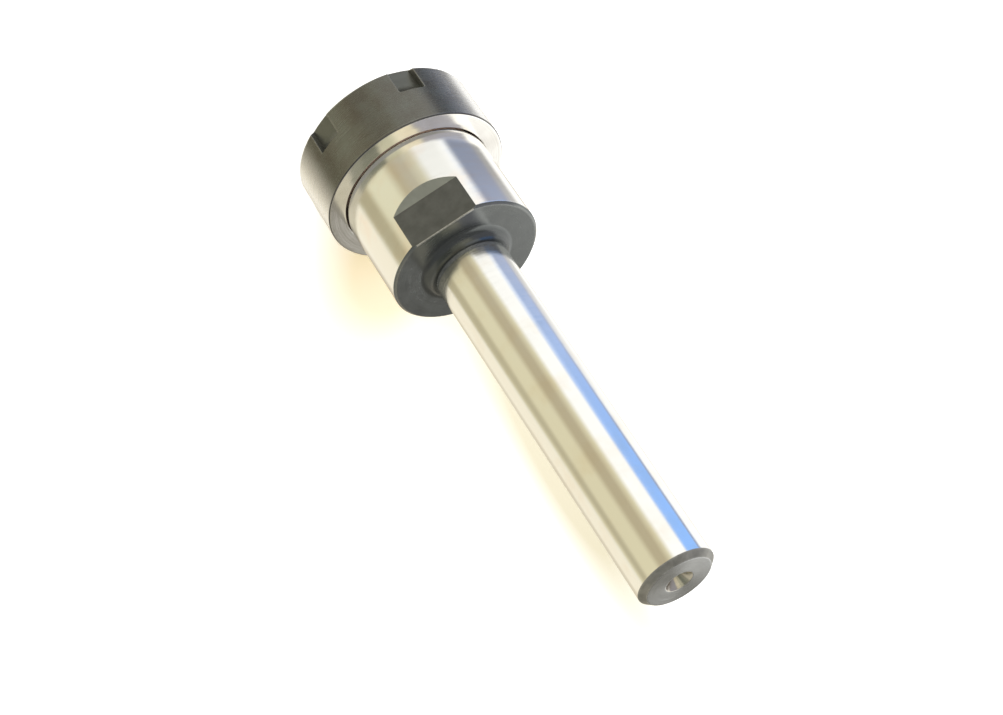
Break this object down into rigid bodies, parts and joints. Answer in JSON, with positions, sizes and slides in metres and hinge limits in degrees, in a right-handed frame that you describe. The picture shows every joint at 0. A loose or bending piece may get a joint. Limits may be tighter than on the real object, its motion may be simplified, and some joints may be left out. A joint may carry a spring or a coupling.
{
  "type": "collet chuck holder",
  "caption": "Straight-shank collet chuck: turned body with two spanner flats, a threaded nose with a taper socket, a slotted clamping nut and a slit spring collet.",
  "frame": {"origin": "centre of the flat front face of the clamping nut, on the common axis", "axes": "+Z along the axis from the nut to the free end of the shank; the spanner flats face +Y and -Y"},
  "size_m": [0.05, 0.05, 0.1536],
  "materials": {
    "holder_steel": "ground bright on the shank and round the head, black oxide on the flats, the rear face and the root fillet",
    "nut_steel": "satin black oxide, bright turned ring on the rear face",
    "collet_steel": "ground spring steel"
  },
  "bodies": {
    "nut": {"clamping_nut": "nut_steel"},
    "collet": {"collet": "collet_steel"},
    "holder": {"holder_body": "holder_steel"}
  },
  "joints": [
    {"name": "nut_turn", "type": "hinge", "parent": "nut", "child": "collet", "pos_m": [0, 0, 0.0168], "axis": [0, 0, 1], "range_deg": [0, 2160]},
    {"name": "thread_travel", "type": "slide", "parent": "collet", "child": "holder", "axis": [0, 0, 1], "range_m": [0, 0.009]}
  ],
  "couplings": [
    {"joint": "thread_travel", "follows": "nut_turn", "m_per_rad": 0.00023873}
  ]
}
